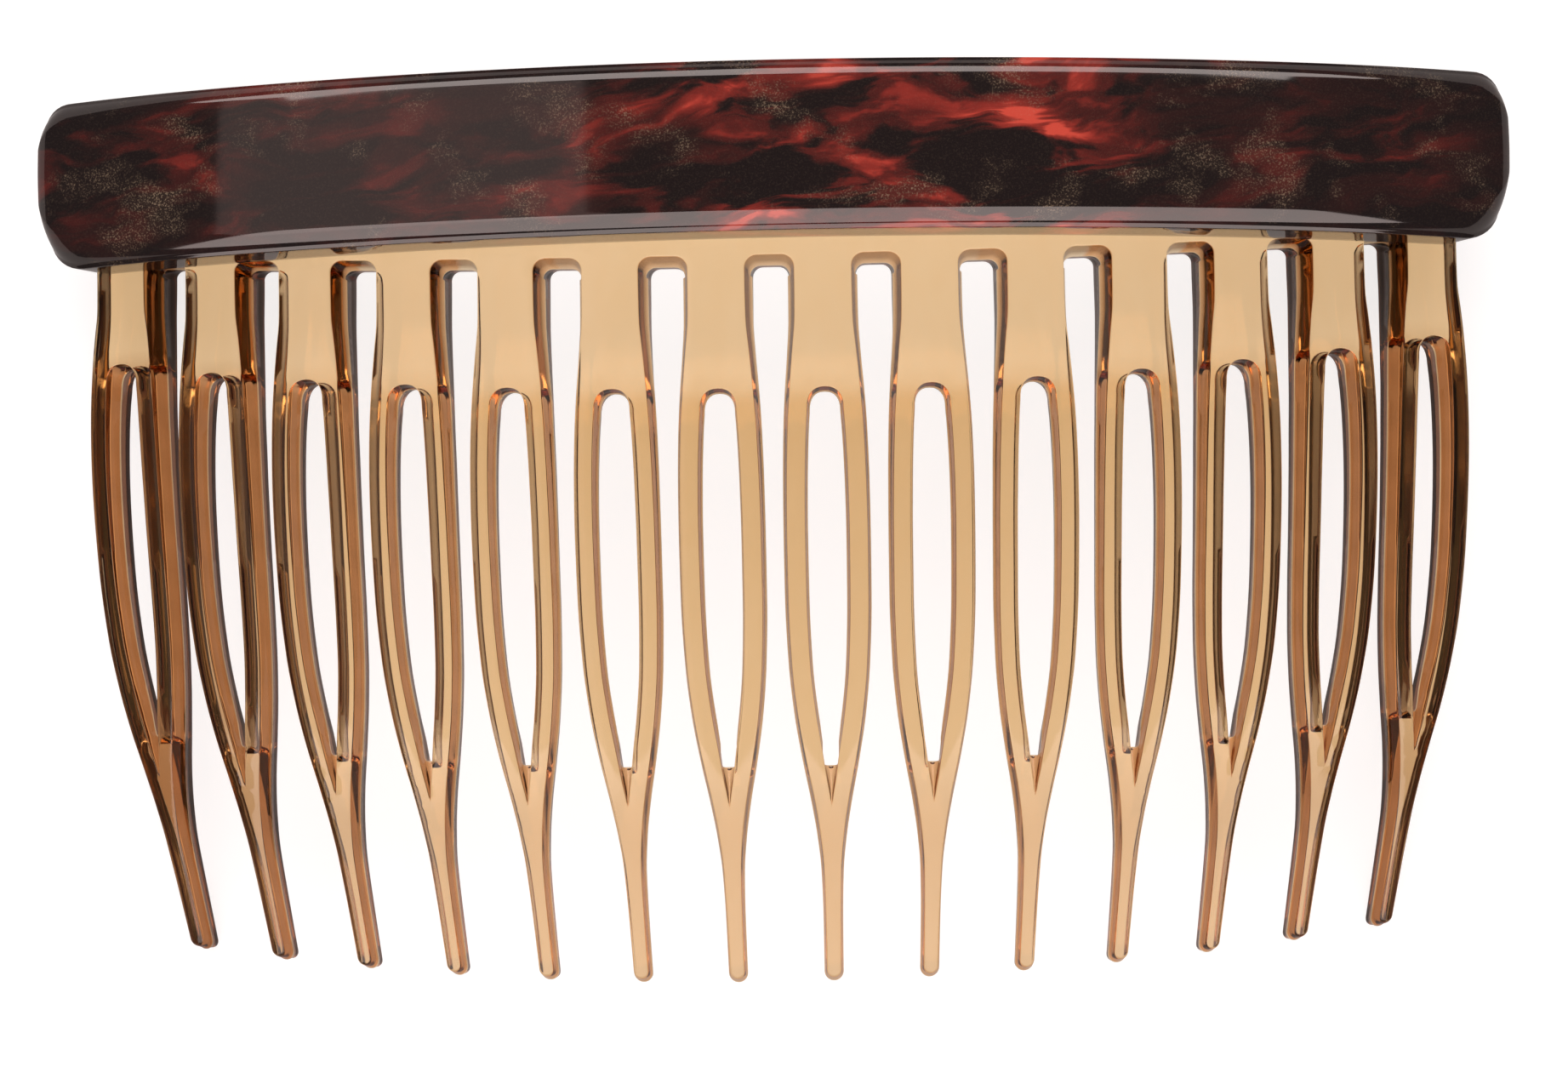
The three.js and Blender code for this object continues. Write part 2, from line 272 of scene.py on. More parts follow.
def normals_in(poly, hole):
    """Unit directions into the material at each point of a closed outline."""
    nxt, prv = np.roll(poly, -1, 0), np.roll(poly, 1, 0)
    e1, e0 = nxt - poly, poly - prv
    n1 = np.stack([-e1[:, 1], e1[:, 0]], -1); n1 /= np.linalg.norm(n1, axis=1)[:, None] + 1e-12
    n0 = np.stack([-e0[:, 1], e0[:, 0]], -1); n0 /= np.linalg.norm(n0, axis=1)[:, None] + 1e-12
    n = n0 + n1
    n /= np.linalg.norm(n, axis=1)[:, None] + 1e-9
    cosine = np.clip((n * n1).sum(1), 0.55, 1)
    n /= cosine[:, None]
    area = 0.5 * np.sum(poly[:, 0] * nxt[:, 1] - nxt[:, 0] * poly[:, 1])
    inside = n if area > 0 else -n
    return -inside if hole else inside


# tone of the moulding's surface, painted light and shade: painted shade on the drafted front half of the walls,
# a painted highlight on the witness line, deep painted shade on the back half of the walls, in the root of the teeth
# and on their prongs
FACE = (1.0, 1.0, 1.0)
WALL_SHADE_AND_HIGHLIGHT = {
    "wall": ((0.84, 0.35, 0.145), (0.53, 0.155, 0.043)),
    "line": ((1.0, 0.86, 0.62), (1.0, 0.86, 0.62)),
    "back": ((0.07, 0.022, 0.014), (0.11, 0.035, 0.02)),
}
LAYER_TONE = ["front", "front", "wall", "wall", "wall", "wall", "line", "line", "back", "back", "back", "back", "under", "under"]


def face_tone(kind, p):
    """Tone of the front and back faces: clear in the spine and roots, deeper down the teeth, with painted shade on the
    back faces of the end teeth.
    """
    k1 = smooth(9.4, 7.6, p[:, 1])[:, None]
    k2 = smooth(-12.0, -19.0, p[:, 1])[:, None]
    c = np.array(FACE) * (1 - k1) + np.array((0.87, 0.755, 0.59)) * k1
    c = c * (1 - k2) + np.array((0.71, 0.575, 0.415)) * k2
    if kind == "under":
        # painted shade: the back faces of the end teeth are darker, most of all at the -X end
        ends = np.maximum(smooth(26, 44, -p[:, 0]), 0.3 * smooth(30, 42, p[:, 0]))[:, None] * k1
        c = c * (1 - ends) + np.array((0.26, 0.10, 0.04)) * ends
    return c


def tone_and_painted_light_at(kind, p, hole):
    """Colour at points p of an outline, with painted light and shade on the walls. Towards the middle of the comb the
    walls are painted paler.
    """
    n = len(p)
    if kind in ("front", "under"):
        return face_tone(kind, p)
    root, prong = (np.array(c) for c in WALL_SHADE_AND_HIGHLIGHT[kind])
    # painted shade: the roots of the outermost teeth are painted the darkest
    root = root * (1 - 0.72 * smooth(37.5, 41, np.abs(p[:, 0])))[:, None]
    k = smooth(9.5, 7.5, p[:, 1])[:, None]
    c = root * (1 - k) + prong * k
    # painted light: the walls are painted paler towards the middle of the comb
    side = (np.clip(np.abs(p[:, 0]) / R / math.radians(END), 0, 1))[:, None]
    c = c ** (0.35 + 0.65 * side ** 0.8)
    # painted light: walls turned away from the middle of the comb are painted clearer, most of all beside the stems
    tooth = np.clip(np.round(p[:, 0] / PITCH - 0.5) + 0.5, -(TEETH - 1) / 2, (TEETH - 1) / 2) * PITCH
    away = np.sign(p[:, 0] - tooth) * np.sign(tooth) * (-1 if hole else 1)
    clear = ((away > 0) * smooth(5, 16, np.abs(tooth)))[:, None] * (1 - 0.7 * k)
    c = c * (1 - clear) + face_tone("front", p) * clear
    # streaks down the wall
    return c * (1 + 0.10 * np.sin(p[:, 1] * 1.7 + p[:, 0] * 3.1)[:, None] * np.sin(p[:, 1] * 0.37 + p[:, 0])[:, None])


def make_moulding():
    loops, centre = outlines()
    verts, faces, tones = [], [], []
    rings = []   # per outline, per layer, vertex indices
    flat = {"front": [], "back": []}
    for li, (three, ridge, rad) in enumerate(loops):
        hole = li > 0
        f, m, b = three
        nf, nm, nb = normals_in(f, hole), normals_in(m, hole), normals_in(b, hole)
        rf = rad[:, None]
        tf, tm, tb = thick(f[:, 1]), thick(m[:, 1]), thick(b[:, 1])
        layers = []

        def add(p, s_for, e):
            layers.append((p, e))
        # front face edge, rounded, then the draft to the parting line and on to the back
        r1 = rad
        add(f + nf * rf, None, 0 * r1)
        add(f + nf * rf * 0.5, None, 0.134 * r1)
        add(f + nf * rf * 0.134, None, 0.5 * r1)
        add(f, None, r1)
        mid = DEPTH_AT[1]
        q = 0.5
        add(f * (1 - q) + m * q, None, (r1 * (1 - q) + mid * tm * q))
        add(f * 0.06 + m * 0.94, None, mid * tm - 0.085)
        add(m - nm * ridge[:, None], None, mid * tm - 0.04)
        add(m - nm * ridge[:, None], None, mid * tm + 0.03)
        add(m * 0.94 + b * 0.06, None, mid * tm + 0.07)
        add(m * 0.4 + b * 0.6, None, mid * tm * 0.4 + (tb - r1) * 0.6)
        add(b, None, tb - r1)
        add(b + nb * rf * 0.134, None, tb - 0.5 * r1)
        add(b + nb * rf * 0.5, None, tb - 0.134 * r1)
        add(b + nb * rf, None, tb)
        ring = []
        for p, e in layers:
            start = len(verts)
            xyz = bend(p[:, 0], p[:, 1], inward(p[:, 1]) + e)
            verts.extend(xyz)
            tones.extend(tone_and_painted_light_at(LAYER_TONE[len(ring)], p, hole))
            ring.append(np.arange(start, start + len(p)))
        n = len(f)
        for r0, r1_ in zip(ring[:-1], ring[1:]):
            for j in range(n):
                k = (j + 1) % n
                faces.append((r0[j], r0[k], r1_[k], r1_[j]))
        flat["front"].append((layers[0][0], ring[0]))
        flat["back"].append((layers[-1][0], ring[-1]))
    for which in ("front", "back"):
        k = 0 if which == "front" else 2
        co, cons, index = [], [], []
        for p, ids in flat[which]:
            start = len(co)
            co.extend(map(tuple, p)); index.extend(ids)
            n = len(p)
            cons.extend((start + j, start + (j + 1) % n) for j in range(n))
        n_outline = len(co)
        # points inside the faces
        inner = []
        for c in centre:
            for s in np.arange(15.2, 9.3, -0.6):
                w = width_f(s) if k == 0 else width_b(s)
                for t in (-0.72, -0.36, 0.0, 0.36, 0.72):
                    inner.append((c + t * w * factor(k, s), s))
            for s in np.arange(9.0, -12.6, -0.75):
                w = width_f(s) if k == 0 else width_b(s)
                ww = w - PRONG * 0.5
                for sg in (-1, 1):
                    inner.append((c + sg * ww * factor(k, s), s - 0.3))
            low = np.arange(-16.9 if k == 0 else -14.2, TIP_END + 0.8, -0.55)
            for s in low:
                w = width_f(s) if k == 0 else width_b(s)
                if w > 0.8:
                    for t in (-0.45, 0.45):
                        inner.append((c + t * w * factor(k, s), s - 0.2))
                else:
                    inner.append((c, s - 0.2))
        a_in = centre[-1] + 1.78 - 0.6
        for s in np.arange(17.5, 24.5, 0.62):
            for a in np.linspace(-a_in, a_in, 118):
                inner.append((a, s))
        for c in centre:
            for s in (16.0, 16.8):
                for t in (-1.1, -0.5, 0.1, 0.7):
                    inner.append((c + t, s))
        co2 = co + inner
        out = delaunay_2d_cdt([Vector(p) for p in co2], cons, [], 0, 1e-7)
        vs, _, tris, orig = out[0], out[1], out[2], out[3]
        ids = []
        for j, v in enumerate(vs):
            o = orig[j]
            if o and min(o) < n_outline:
                ids.append(index[min(o)])
            else:
                ids.append(len(verts))
                s = v.y
                verts.append(bend(np.array(v.x), np.array(s), inward(s) + (0 if k == 0 else thick(s))))
                tones.append(face_tone("front" if k == 0 else "under", np.array([[v.x, s]]))[0])
        # keep the triangles inside the outer outline and outside the loops
        v2 = np.array([(v.x, v.y) for v in vs])
        cen = np.array([v2[list(t)].mean(0) for t in tris])
        keep = inside_poly(cen, flat[which][0][0])
        for p, _ in flat[which][1:]:
            lo, hi = p.min(0), p.max(0)
            cand = np.where((cen >= lo).all(1) & (cen <= hi).all(1))[0]
            if len(cand):
                keep[cand[inside_poly(cen[cand], p)]] = False
        for t, ok in zip(tris, keep):
            if ok:
                faces.append(tuple(ids[j] for j in t))
    return np.array(verts), faces, np.array(tones)


def inside_poly(points, poly):
    x, y = points[:, 0], points[:, 1]
    res = np.zeros(len(points), bool)
    x0, y0 = poly[:, 0], poly[:, 1]
    x1, y1 = np.roll(x0, -1), np.roll(y0, -1)
    for a, b, c, d in zip(x0, y0, x1, y1):
        if b == d:
            continue
        hit = ((b > y) != (d > y)) & (x < (c - a) * (y - b) / (d - b) + a)
        res ^= hit
    return res


verts, faces, tones = make_moulding()
moulding = mesh_object("moulded_comb", to_row(verts), faces)
layer = moulding.data.color_attributes.new("tone", "FLOAT_COLOR", "POINT")
layer.data.foreach_set("color", np.concatenate([np.clip(tones, 0, 1), np.ones((len(tones), 1))], 1).ravel())
import bmesh
bm = bmesh.new()
bm.from_mesh(moulding.data)
bmesh.ops.recalc_face_normals(bm, faces=bm.faces)
if bm.calc_volume(signed=True) < 0:
    bmesh.ops.reverse_faces(bm, faces=bm.faces)
print("MOULDING faces", len(bm.faces), "open edges", sum(1 for e in bm.edges if not e.is_manifold), "volume mm3", bm.calc_volume() * 1e9)
bm.to_mesh(moulding.data)
bm.free()
moulding.data.polygons.foreach_set("use_smooth", [True] * len(moulding.data.polygons))
wn = moulding.modifiers.new("weighted", "WEIGHTED_NORMAL")
wn.mode = "FACE_AREA"
wn.weight = 90
wn.keep_sharp = True

# ---------------------------------------------------------------- the bar
BAR_BOTTOM, BAR_TOP, BAR_T, BAR_HALF = 17.7, 28.0, 4.6, 29.35
INNER = 0.30


def corner(r, d):
    return np.where(d >= r, 0.0, r - np.sqrt(np.maximum(r * r - (r - np.minimum(d, r)) ** 2, 0)))


def bar_section(d):
    """Outline of the bar at distance d from its end: radial distance beyond the spine's front, height."""
    low = BAR_BOTTOM + corner(3.0, d)
    high = BAR_TOP - corner(2.3, d)
    outer = INNER + BAR_T - 0.4 * corner(1.6, d) - 0.25 * np.clip(1 - d / 14, 0, 1) ** 2
    back = INNER + 0.25 * corner(1.0, d)
    pts = []

    def arc(cx, cy, rx, ry, a0, a1, n):
        for j in range(n + 1):
            a = math.radians(a0 + (a1 - a0) * j / n)
            pts.append((cx + rx * math.cos(a), cy + ry * math.sin(a)))
    span = high - low
    end = np.clip(1 - d / 14, 0, 1) ** 2
    b1, b2 = min(1.3 * (1 + 0.8 * end), span * 0.42), min(0.98 * (1 + 0.5 * end), span * 0.42)

    def bevel(width, first, last):
        """Offsets from the front of a softly broken edge: distance along the height, depth."""
        u = np.concatenate([[0, 0.04, 0.08], np.linspace(0.16, 1, 9)])
        t = np.radians(np.interp(u, [0, 0.08], [0, first]) * (u < 0.08) + (u >= 0.08) * (first + (last - first) * u ** 1.3))
        drop = np.concatenate([[0], np.cumsum(np.diff(u) * 0.5 * (np.tan(t[1:]) + np.tan(t[:-1])))]) * width
        return u * width, drop
    r0 = 0.16
    h1, d1 = bevel(b1 - r0, 16, 50)
    h2, d2 = bevel(b2 - r0, 17, 50)
    # lower edge, from the underside to the front
    k1, k2 = outer - d1[-1], outer - d2[-1]
    for j in range(5):
        a = math.radians(-90 + 52 * j / 5)
        pts.append((k1 - r0 * 0.8 + r0 * math.cos(a), low + r0 + r0 * math.sin(a)))
    for h, q in zip(h1[::-1], d1[::-1]):
        pts.append((outer - q, low + b1 - h))
    # a slight crown across the front
    for t in np.linspace(0.08, 0.92, 9):
        h = (low + b1) + (high - b2 - low - b1) * t
        pts.append((outer + 0.04 * math.sin(math.pi * t), h))
    for h, q in zip(h2, d2):
        pts.append((outer - q, high - b2 + h))
    for j in range(4, -1, -1):
        a = math.radians(90 - 52 * j / 5)
        pts.append((k2 - r0 * 0.8 + r0 * math.cos(a), high - r0 + r0 * math.sin(a)))
    rx1, rx2 = outer - k1 + r0 * 0.8, outer - k2 + r0 * 0.8
    rb = 0.3
    for t in np.linspace(0.2, 0.8, 4):
        pts.append((outer - rx2 + (back + rb - (outer - rx2)) * t, high))
    arc(back + rb, high - rb, rb, rb, 90, 180, 5)
    for t in np.linspace(0.1, 0.9, 9):
        pts.append((back, (high - rb) + (low + rb - (high - rb)) * t))
    arc(back + rb, low + rb, rb, rb, 180, 270, 5)
    for t in np.linspace(0.2, 0.8, 4):
        pts.append((back + rb + (outer - rx1 - back - rb) * t, low))
    return np.array(pts)


def make_bar():
    half = math.radians(BAR_HALF)
    mid = R + INNER + BAR_T / 2
    length = half * mid
    near = np.concatenate([1 - np.cos(np.linspace(0, math.pi / 2, 15))])[0:] * 4.5
    d = np.unique(np.round(np.concatenate([near, [0.02, 0.09, 0.2, 0.34, 0.5, 0.7], np.arange(5.2, length, 0.8)]), 5))
    d = d[np.concatenate([[True], np.diff(d) > 0.015])]
    ths = np.concatenate([-(half - d / mid), (half - d / mid)[::-1]])
    ds = np.concatenate([d, d[::-1]])
    verts, faces = [], []
    n = None
    for th, dd in zip(ths, ds):
        sec = bar_section(dd)
        n = len(sec)
        # the rim of the end face is broken too
        cen = (sec.max(0) + sec.min(0)) / 2
        half_size = (sec.max(0) - sec.min(0)) / 2
        sec = cen + (sec - cen) * (1 - corner(0.24, dd) / half_size)
        r = R + sec[:, 0]
        verts.append(np.stack([r * math.sin(th), sec[:, 1], r * math.cos(th) - R], -1))
    for i in range(len(ths) - 1):
        for j in range(n):
            k = (j + 1) % n
            faces.append((i * n + j, i * n + k, (i + 1) * n + k, (i + 1) * n + j))
    # end caps as shrinking rings
    first, last = verts[0], verts[-1]
    for ring, base in ((first, 0), (last, (len(ths) - 1) * n)):
        cen = ring.mean(0)
        prev = list(range(base, base + n))
        for q in (0.8, 0.5, 0.2):
            new = cen + (ring - cen) * q
            start = sum(len(v) for v in verts)
            verts.append(new)
            cur = list(range(start, start + n))
            for j in range(n):
                k = (j + 1) % n
                faces.append((prev[j], prev[k], cur[k], cur[j]))
            prev = cur
        faces.append(tuple(prev))
    return np.concatenate(verts), faces


verts, faces = make_bar()
bar = mesh_object("tortoiseshell_bar", to_row(verts), faces)
bm = bmesh.new()
bm.from_mesh(bar.data)
bmesh.ops.recalc_face_normals(bm, faces=bm.faces)
if bm.calc_volume(signed=True) < 0:
    bmesh.ops.reverse_faces(bm, faces=bm.faces)
print("BAR faces", len(bm.faces), "open edges", sum(1 for e in bm.edges if not e.is_manifold), "volume mm3", bm.calc_volume() * 1e9)
bm.to_mesh(bar.data)
bm.free()
bar.data.polygons.foreach_set("use_smooth", [True] * len(bar.data.polygons))


# ---------------------------------------------------------------- materials
class Nodes:
    def __init__(self, name):
        self.mat = bpy.data.materials.new(name)
        self.mat.use_nodes = True
        self.tree = self.mat.node_tree
        self.tree.nodes.clear()

    def new(self, kind, **values):
        node = self.tree.nodes.new(kind)
        for key, value in values.items():
            if hasattr(node, key):
                setattr(node, key, value)
            else:
                node.inputs[key.replace("_", " ")].default_value = value
        return node

    def link(self, a, b):
        self.tree.links.new(a, b)

    def math(self, op, a, b=None, clamp=False):
        n = self.tree.nodes.new("ShaderNodeMath")
        n.operation = op
        n.use_clamp = clamp
        for slot, v in ((0, a), (1, b)):
            if v is None:
                continue
            if isinstance(v, (int, float)):
                n.inputs[slot].default_value = v
            else:
                self.link(v, n.inputs[slot])
        return n.outputs[0]

    def ramp(self, value, stops, interp="LINEAR"):
        n = self.tree.nodes.new("ShaderNodeValToRGB")
        n.color_ramp.interpolation = interp
        els = n.color_ramp.elements
        while len(els) > 1:
            els.remove(els[-1])
        els[0].position, els[0].color = stops[0]
        for pos, col in stops[1:]:
            e = els.new(pos)
            e.color = col
        self.link(value, n.inputs[0])
        return n

    def noise(self, vector, scale, detail=4, rough=0.55, distortion=0.0, dims="3D"):
        n = self.tree.nodes.new("ShaderNodeTexNoise")
        n.noise_dimensions = dims
        n.inputs["Scale"].default_value = scale
        n.inputs["Detail"].default_value = detail
        n.inputs["Roughness"].default_value = rough
        n.inputs["Distortion"].default_value = distortion
        self.link(vector, n.inputs["Vector"])
        return n

    def mix(self, fac, a, b, blend="MIX"):
        n = self.tree.nodes.new("ShaderNodeMix")
        n.data_type = "RGBA"
        n.blend_type = blend
        if isinstance(fac, (int, float)):
            n.inputs[0].default_value = fac
        else:
            self.link(fac, n.inputs[0])
        for slot, v in ((6, a), (7, b)):
            if isinstance(v, tuple):
                n.inputs[slot].default_value = v
            else:
                self.link(v, n.inputs[slot])
        return n.outputs[2]

    def mapping(self, vector, scale=(1, 1, 1), rotation=(0, 0, 0), location=(0, 0, 0)):
        n = self.tree.nodes.new("ShaderNodeMapping")
        n.inputs["Scale"].default_value = scale
        n.inputs["Rotation"].default_value = rotation
        n.inputs["Location"].default_value = location
        self.link(vector, n.inputs["Vector"])
        return n.outputs[0]


def moulded_plastic():
    m = Nodes("translucent_brown_plastic")
    out = m.new("ShaderNodeOutputMaterial")
    p = m.new("ShaderNodeBsdfPrincipled")
    p.inputs["Transmission Weight"].default_value = 1.0
    p.inputs["IOR"].default_value = 1.5
    co = m.new("ShaderNodeTexCoord").outputs["Object"]
    # faint flow marks in the plastic, along the teeth
    flow = m.noise(m.mapping(co, scale=(700, 260, 700)), 1.0, 3, 0.5, 0.6)
    tint = m.ramp(flow.outputs["Fac"], [(0.3, (0.985, 0.965, 0.93, 1)), (0.7, (1, 1, 1, 1))])
    tone = m.new("ShaderNodeVertexColor")
    tone.layer_name = "tone"
    m.link(m.mix(1.0, tone.outputs["Color"], tint.outputs[0], "MULTIPLY"), p.inputs["Base Color"])
    ro = m.noise(co, 1800, 2, 0.5)
    mr = m.new("ShaderNodeMapRange")
    mr.inputs["From Min"].default_value = 0.3
    mr.inputs["From Max"].default_value = 0.7
    mr.inputs["To Min"].default_value = 0.05
    mr.inputs["To Max"].default_value = 0.10
    m.link(ro.outputs["Fac"], mr.inputs["Value"])
    m.link(mr.outputs[0], p.inputs["Roughness"])
    bump = m.new("ShaderNodeBump")
    bump.inputs["Strength"].default_value = 0.10
    bump.inputs["Distance"].default_value = 0.00003
    wave = m.noise(m.mapping(co, scale=(420, 160, 420)), 1.0, 2, 0.5)
    m.link(wave.outputs["Fac"], bump.inputs["Height"])
    m.link(bump.outputs[0], p.inputs["Normal"])
    vol = m.new("ShaderNodeVolumeAbsorption")
    vol.inputs["Color"].default_value = (0.875, 0.62, 0.20, 1)
    vol.inputs["Density"].default_value = 400.0
    m.link(p.outputs[0], out.inputs["Surface"])
    m.link(vol.outputs[0], out.inputs["Volume"])
    return m.mat


def acetate():
    m = Nodes("tortoiseshell_acetate")
    out = m.new("ShaderNodeOutputMaterial")
    p = m.new("ShaderNodeBsdfPrincipled")
    p.inputs["IOR"].default_value = 1.49
    p.inputs["Specular IOR Level"].default_value = 0.95
    co = m.new("ShaderNodeTexCoord").outputs["Object"]
    # the pattern is stretched along the bar, drifts across it and is pulled about
    warp = m.noise(m.mapping(co, scale=(85, 170, 120)), 1.0, 3, 0.5)
    sub = m.new("ShaderNodeVectorMath", operation="SUBTRACT")
    m.link(warp.outputs["Color"], sub.inputs[0])
    sub.inputs[1].default_value = (0.5, 0.5, 0.5)
    off = m.new("ShaderNodeVectorMath", operation="SCALE")
    m.link(sub.outputs[0], off.inputs[0])
    off.inputs["Scale"].default_value = 0.0052
    add = m.new("ShaderNodeVectorMath", operation="ADD")
    m.link(co, add.inputs[0])
    m.link(off.outputs[0], add.inputs[1])
    turned = m.mapping(add.outputs[0], rotation=(0, 0, math.radians(-6)))
    cloud = m.noise(m.mapping(turned, scale=(120, 430, 170), location=(0.37, 0.2, 0.0)), 1.0, 4, 0.55, 0.5)
    broad = m.noise(m.mapping(turned, scale=(60, 150, 80), location=(2.3, 0.9, 0)), 1.0, 2, 0.5, 0.3)
    fine = m.noise(m.mapping(turned, scale=(330, 1300, 500)), 1.0, 4, 0.6, 0.4)
    sep = m.new("ShaderNodeSeparateXYZ")
    m.link(co, sep.inputs[0])

    def bump_at(x, sigma):
        g = m.math("MULTIPLY", m.math("SUBTRACT", sep.outputs[0], x), 1.0 / sigma)
        return m.math("POWER", 2.718, m.math("MULTIPLY", m.math("MULTIPLY", g, g), -1.0))
    # the reds gather in the middle and a little right of it
    heat = m.math("ADD", m.math("MULTIPLY", bump_at(0.0155, 0.0042), 0.9), m.math("MULTIPLY", bump_at(-0.002, 0.0105), 0.62))
    c = m.ramp(cloud.outputs["Fac"], [(0.435, (0, 0, 0, 1)), (0.54, (0.5, 0.5, 0.5, 1)), (0.65, (1, 1, 1, 1))], "EASE")
    z = m.ramp(broad.outputs["Fac"], [(0.36, (0, 0, 0, 1)), (0.60, (1, 1, 1, 1))])
    amount = m.math("MULTIPLY", c.outputs[0], m.math("ADD", m.math("MULTIPLY", z.outputs[0], 0.75), 0.25))
    amount = m.math("MULTIPLY", amount, m.math("ADD", m.math("MULTIPLY", heat, 0.95), 0.47))
    amount = m.math("MULTIPLY", amount, m.math("ADD", m.math("MULTIPLY", fine.outputs["Fac"], 0.9), 0.55), clamp=True)
    red = m.ramp(amount, [(0.0, (0.0085, 0.0048, 0.0046, 1)), (0.16, (0.020, 0.0065, 0.0058, 1)), (0.38, (0.070, 0.0105, 0.0085, 1)),
                          (0.68, (0.22, 0.024, 0.017, 1)), (1.0, (0.50, 0.062, 0.040, 1))])
    # clusters of fine metallic flecks, over a faint haze of them
    clus = m.noise(m.mapping(add.outputs[0], scale=(185, 260, 185), location=(1.7, 4.2, 0)), 1.0, 3, 0.6)
    cmask = m.ramp(clus.outputs["Fac"], [(0.535, (0.06, 0.06, 0.06, 1)), (0.70, (1, 1, 1, 1))])
    fl = m.noise(co, 8200, 2, 0.7)
    fmask = m.ramp(fl.outputs["Fac"], [(0.52, (0, 0, 0, 1)), (0.68, (1, 1, 1, 1))])
    haze = m.mix(m.math("MULTIPLY", cmask.outputs[0], 0.08), red.outputs[0], (0.17, 0.115, 0.075, 1))
    fm = m.math("MULTIPLY", cmask.outputs[0], fmask.outputs[0], clamp=True)
    c3 = m.mix(m.math("MULTIPLY", fm, 0.52), haze, (0.36, 0.28, 0.19, 1))
    m.link(c3, p.inputs["Base Color"])
    ro = m.new("ShaderNodeMapRange")
    ro.inputs["To Min"].default_value = 0.035
    ro.inputs["To Max"].default_value = 0.085
    m.link(m.noise(m.mapping(co, scale=(500, 700, 500)), 1.0, 3, 0.6).outputs["Fac"], ro.inputs["Value"])
    m.link(ro.outputs[0], p.inputs["Roughness"])
    bump = m.new("ShaderNodeBump")
    bump.inputs["Strength"].default_value = 0.08
    bump.inputs["Distance"].default_value = 0.00003
    orange = m.noise(m.mapping(co, scale=(150, 150, 150)), 1.0, 2, 0.5)
    m.link(orange.outputs["Fac"], bump.inputs["Height"])
    m.link(bump.outputs[0], p.inputs["Normal"])
    m.link(p.outputs[0], out.inputs["Surface"])
    return m.mat


def glue_clear():
    m = Nodes("clear_adhesive")
    out = m.new("ShaderNodeOutputMaterial")
    p = m.new("ShaderNodeBsdfPrincipled")
    p.inputs["Transmission Weight"].default_value = 1.0
    p.inputs["IOR"].default_value = 1.47
    co = m.new("ShaderNodeTexCoord").outputs["Object"]
    smear = m.noise(m.mapping(co, scale=(300, 500, 300)), 1.0, 4, 0.6, 1.0)
    tint = m.ramp(smear.outputs["Fac"], [(0.35, (0.62, 0.45, 0.28, 1)), (0.65, (0.85, 0.72, 0.52, 1))])
    m.link(tint.outputs[0], p.inputs["Base Color"])
    mr = m.new("ShaderNodeMapRange")
    mr.inputs["To Min"].default_value = 0.15
    mr.inputs["To Max"].default_value = 0.4
    m.link(smear.outputs["Fac"], mr.inputs["Value"])
    m.link(mr.outputs[0], p.inputs["Roughness"])
    m.link(p.outputs[0], out.inputs["Surface"])
    return m.mat


moulding.data.materials.append(moulded_plastic())
bar.data.materials.append(acetate())
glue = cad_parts["glue_film"]
if glue.material_slots:
    glue.material_slots[0].material = glue_clear()
else:
    glue.data.materials.append(glue_clear())

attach(moulding, "root")
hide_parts("comb_spine", *["tooth_%02d" % (i + 1) for i in range(TEETH)])
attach(bar, "root")
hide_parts("acetate_bar")

# ---------------------------------------------------------------- floor and light
bpy.ops.mesh.primitive_plane_add(size=6.0, location=(0, 0, -0.0001))
floor = bpy.context.object
floor.name = "floor"
fm_ = Nodes("pale_floor")
fo = fm_.new("ShaderNodeOutputMaterial")
dif = fm_.new("ShaderNodeBsdfDiffuse")
dif.inputs["Color"].default_value = (0.36, 0.36, 0.36, 1)
emi = fm_.new("ShaderNodeEmission")
emi.inputs["Color"].default_value = (1, 1, 1, 1)
# like a light table, it is brightest straight up and falls off sideways
weight = fm_.new("ShaderNodeLayerWeight")
weight.inputs["Blend"].default_value = 0.5
upright = fm_.math("POWER", fm_.math("SUBTRACT", 1.0, weight.outputs["Facing"], clamp=True), 1.6)
path = fm_.new("ShaderNodeLightPath")
glow = fm_.math("MULTIPLY", fm_.math("MAXIMUM", upright, path.outputs["Is Camera Ray"]), 0.76)
# and shows weakly as a mirror image on the walls
mirror = fm_.math("SUBTRACT", 1.0, fm_.math("MULTIPLY", path.outputs["Is Reflection Ray"], 0.8))
glow = fm_.math("MULTIPLY", glow, mirror)
fm_.link(glow, emi.inputs["Strength"])
addn = fm_.new("ShaderNodeAddShader")
fm_.link(dif.outputs[0], addn.inputs[0])
fm_.link(emi.outputs[0], addn.inputs[1])
fm_.link(addn.outputs[0], fo.inputs["Surface"])
floor.data.materials.append(fm_.mat)

world = bpy.data.worlds.new("studio")
bpy.context.scene.world = world
world.use_nodes = True
wt = world.node_tree
wt.nodes.clear()
wo = wt.nodes.new("ShaderNodeOutputWorld")
bg1 = wt.nodes.new("ShaderNodeBackground")
bg1.inputs["Color"].default_value = (0.07, 0.07, 0.075, 1)
bg2 = wt.nodes.new("ShaderNodeBackground")
bg2.inputs["Color"].default_value = (0.93, 0.93, 0.93, 1)
lp = wt.nodes.new("ShaderNodeLightPath")
mx = wt.nodes.new("ShaderNodeMixShader")
wt.links.new(lp.outputs["Is Camera Ray"], mx.inputs[0])
wt.links.new(bg1.outputs[0], mx.inputs[1])
wt.links.new(bg2.outputs[0], mx.inputs[2])
wt.links.new(mx.outputs[0], wo.inputs["Surface"])


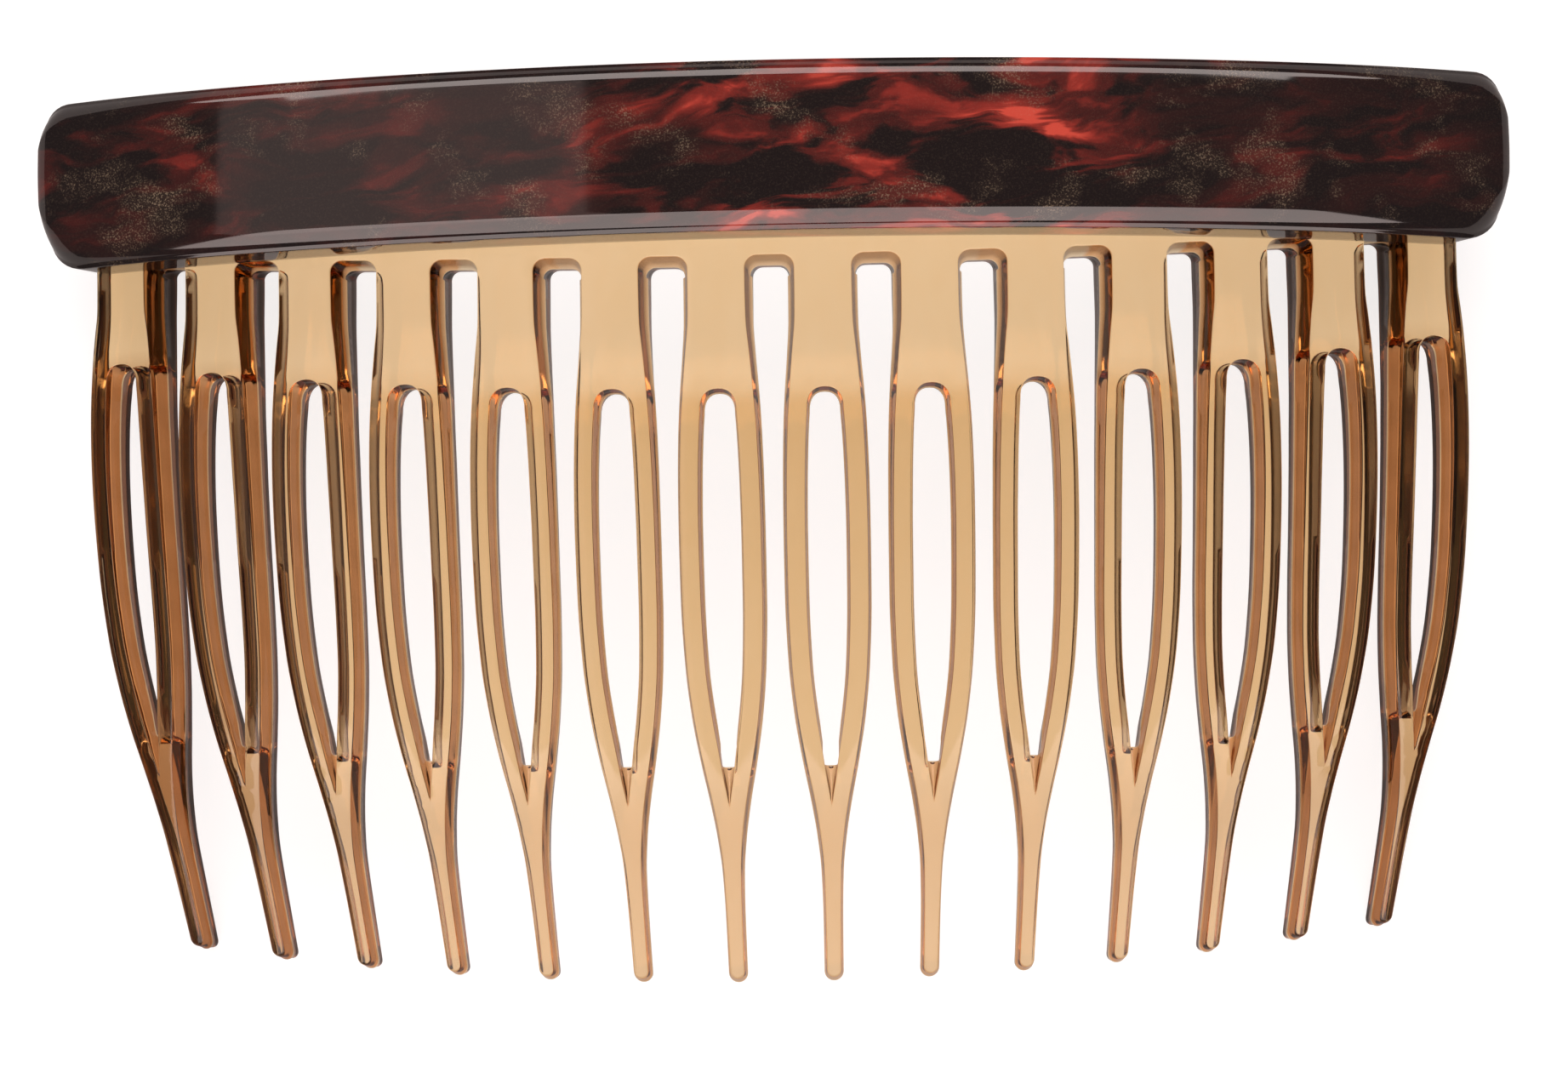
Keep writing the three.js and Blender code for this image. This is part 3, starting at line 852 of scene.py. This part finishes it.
def area(name, location, target, size, power, size_y=None, color=(1.0, 1.0, 1.0)):
    data = bpy.data.lights.new(name, "AREA")
    data.shape = "RECTANGLE"
    data.size = size
    data.size_y = size_y or size
    data.energy = power
    data.color = color
    ob = bpy.data.objects.new(name, data)
    ob.location = location
    ob.rotation_euler = (Vector(target) - Vector(location)).to_track_quat("-Z", "Y").to_euler()
    ob.visible_camera = False
    bpy.context.scene.collection.objects.link(ob)
    return ob


def panel(name, location, target, wide, high, radiance, color):
    return area(name, location, target, wide, radiance * math.pi * wide * high, high, color)


panel("key_left", (-0.327, -0.02, 0.503), (0, 0, 0), 0.57, 0.36, 0.42, (1.0, 0.76, 0.70))
panel("strip_top", (0.0, 0.47, 0.42), (0, 0.02, 0.01), 1.2, 0.56, 3.1, (1.0, 0.87, 0.83))
panel("strip_bottom", (0.0, -0.44, 0.42), (0, 0.02, 0.01), 1.2, 0.56, 2.4, (1.0, 0.84, 0.80))

# ---------------------------------------------------------------- camera
cam_data = bpy.data.cameras.new("camera")
cam = bpy.data.objects.new("camera", cam_data)
bpy.context.scene.collection.objects.link(cam)
CAM = (15.539, -44.233, 459.37)       # comb frame, mm
YAW, PITCH_, ROLL = math.radians(-1.86), math.radians(5.47), math.radians(-1.03)
fwd = Vector((math.sin(YAW) * math.cos(PITCH_), math.cos(YAW) * math.cos(PITCH_), math.sin(PITCH_)))
right = Vector((math.cos(YAW), -math.sin(YAW), 0))
up = right.cross(fwd)
r2 = math.cos(ROLL) * right + math.sin(ROLL) * up
u2 = -math.sin(ROLL) * right + math.cos(ROLL) * up


def turn(v):
    """A direction of (right, away, up) to the row frame."""
    x, y, z = v[0], v[2], -v[1]
    c, s = math.cos(TILT), math.sin(TILT)
    return Vector((x, y * c + z * s, -y * s + z * c))


rx, ux, fx = turn(r2), turn(u2), turn(fwd)
rot = Matrix((rx, ux, -fx)).transposed()
cam.matrix_world = Matrix.Translation(Vector(to_row(np.array(CAM)))) @ rot.to_4x4()
cam_data.sensor_width = 36.0
cam_data.lens = 36.0 * 19.5 * 461.5 / 1843
cam_data.clip_start = 0.01
cam_data.clip_end = 20
bpy.context.scene.camera = cam
bpy.context.scene.view_settings.view_transform = "Standard"
